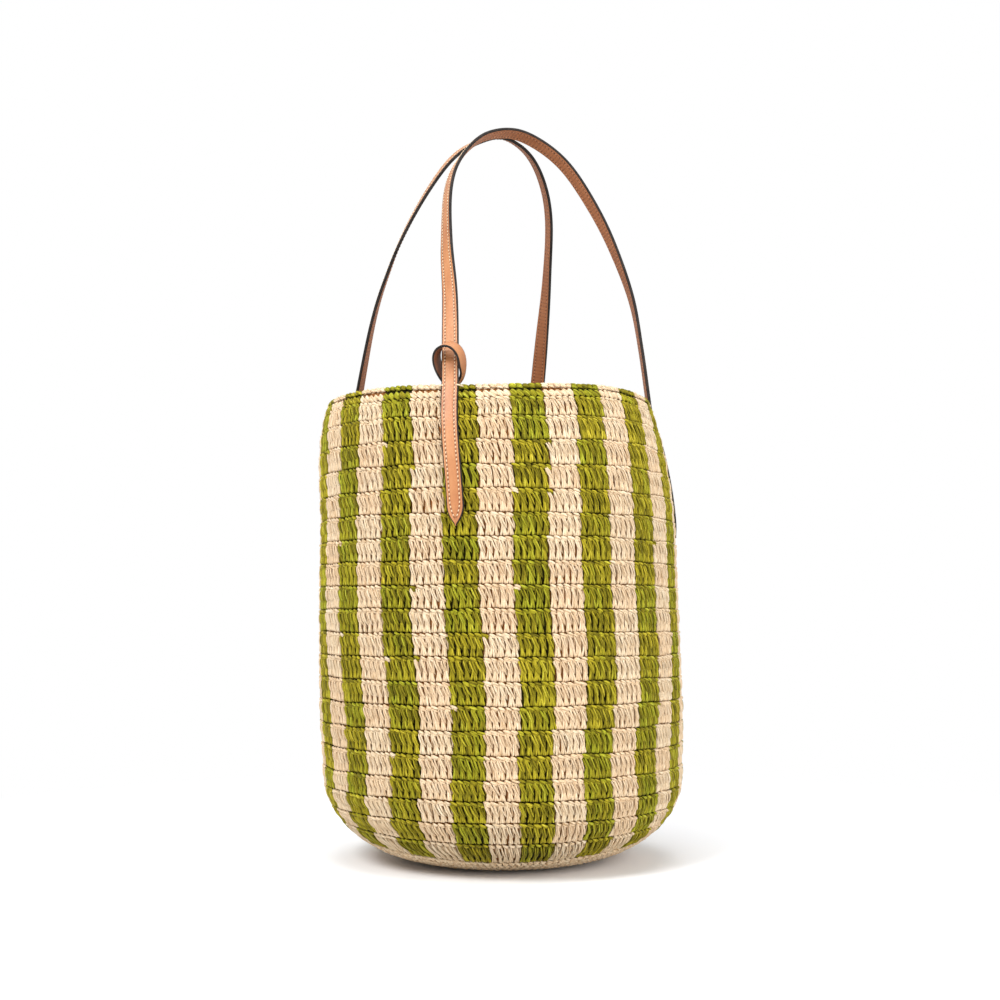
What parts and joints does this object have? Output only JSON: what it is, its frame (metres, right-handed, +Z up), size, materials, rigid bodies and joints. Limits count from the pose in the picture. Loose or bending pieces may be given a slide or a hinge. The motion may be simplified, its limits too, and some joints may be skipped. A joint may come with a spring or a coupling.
{
  "type": "crocheted bucket tote bag",
  "caption": "Tall round crocheted raffia bucket tote with vertical stripes and slim stitched leather handles that arch up from the rim and swing outwards.",
  "frame": {"origin": "centre of the flat base, on the surface that the bag stands on", "axes": "+Z up; the front handle faces -Y and the rear handle +Y; +X to the right of someone who looks at the front"},
  "size_m": [0.2724, 0.271, 0.5583],
  "materials": {
    "striped_raffia": "matt crocheted raffia in vertical stripes, green and natural",
    "natural_raffia": "matt crocheted raffia, natural",
    "tan_leather": "smooth vegetable-tanned leather with dark painted edges",
    "brown_leather": "flesh side of the leather, matt",
    "cream_thread": "waxed sewing thread"
  },
  "bodies": {
    "bag": {"base_disc": "natural_raffia", "base_edge": "natural_raffia", "side_wall": "striped_raffia", "rim_lower_round": "striped_raffia", "rim_upper_round": "striped_raffia", "front_left_tab_face": "tan_leather", "front_left_tab_lining": "brown_leather", "front_left_tab_stitching": "cream_thread", "front_left_left_tack": "cream_thread", "front_left_right_tack": "cream_thread", "front_left_backing": "brown_leather", "front_right_tab_face": "tan_leather", "front_right_tab_lining": "brown_leather", "front_right_tab_stitching": "cream_thread", "front_right_left_tack": "cream_thread", "front_right_right_tack": "cream_thread", "front_right_backing": "brown_leather", "rear_left_tab_face": "tan_leather", "rear_left_tab_lining": "brown_leather", "rear_left_tab_stitching": "cream_thread", "rear_left_left_tack": "cream_thread", "rear_left_right_tack": "cream_thread", "rear_left_backing": "brown_leather", "rear_right_tab_face": "tan_leather", "rear_right_tab_lining": "brown_leather", "rear_right_tab_stitching": "cream_thread", "rear_right_left_tack": "cream_thread", "rear_right_right_tack": "cream_thread", "rear_right_backing": "brown_leather"},
    "front_handle": {"front_handle_face": "tan_leather", "front_handle_lining": "brown_leather", "front_handle_front_stitching": "cream_thread", "front_handle_back_stitching": "cream_thread", "front_keeper_loop": "tan_leather"},
    "rear_handle": {"rear_handle_face": "tan_leather", "rear_handle_lining": "brown_leather", "rear_handle_front_stitching": "cream_thread", "rear_handle_back_stitching": "cream_thread", "rear_keeper_loop": "tan_leather"}
  },
  "joints": [
    {"name": "front_handle_swing", "type": "hinge", "parent": "bag", "child": "front_handle", "pos_m": [0.00642, -0.06824, 0.33638], "axis": [0.9769, 0.2139, 0], "range_deg": [0, 80]},
    {"name": "rear_handle_swing", "type": "hinge", "parent": "bag", "child": "rear_handle", "pos_m": [0.00034, 0.10041, 0.33638], "axis": [-0.9945, 0.1045, 0], "range_deg": [0, 95]}
  ]
}
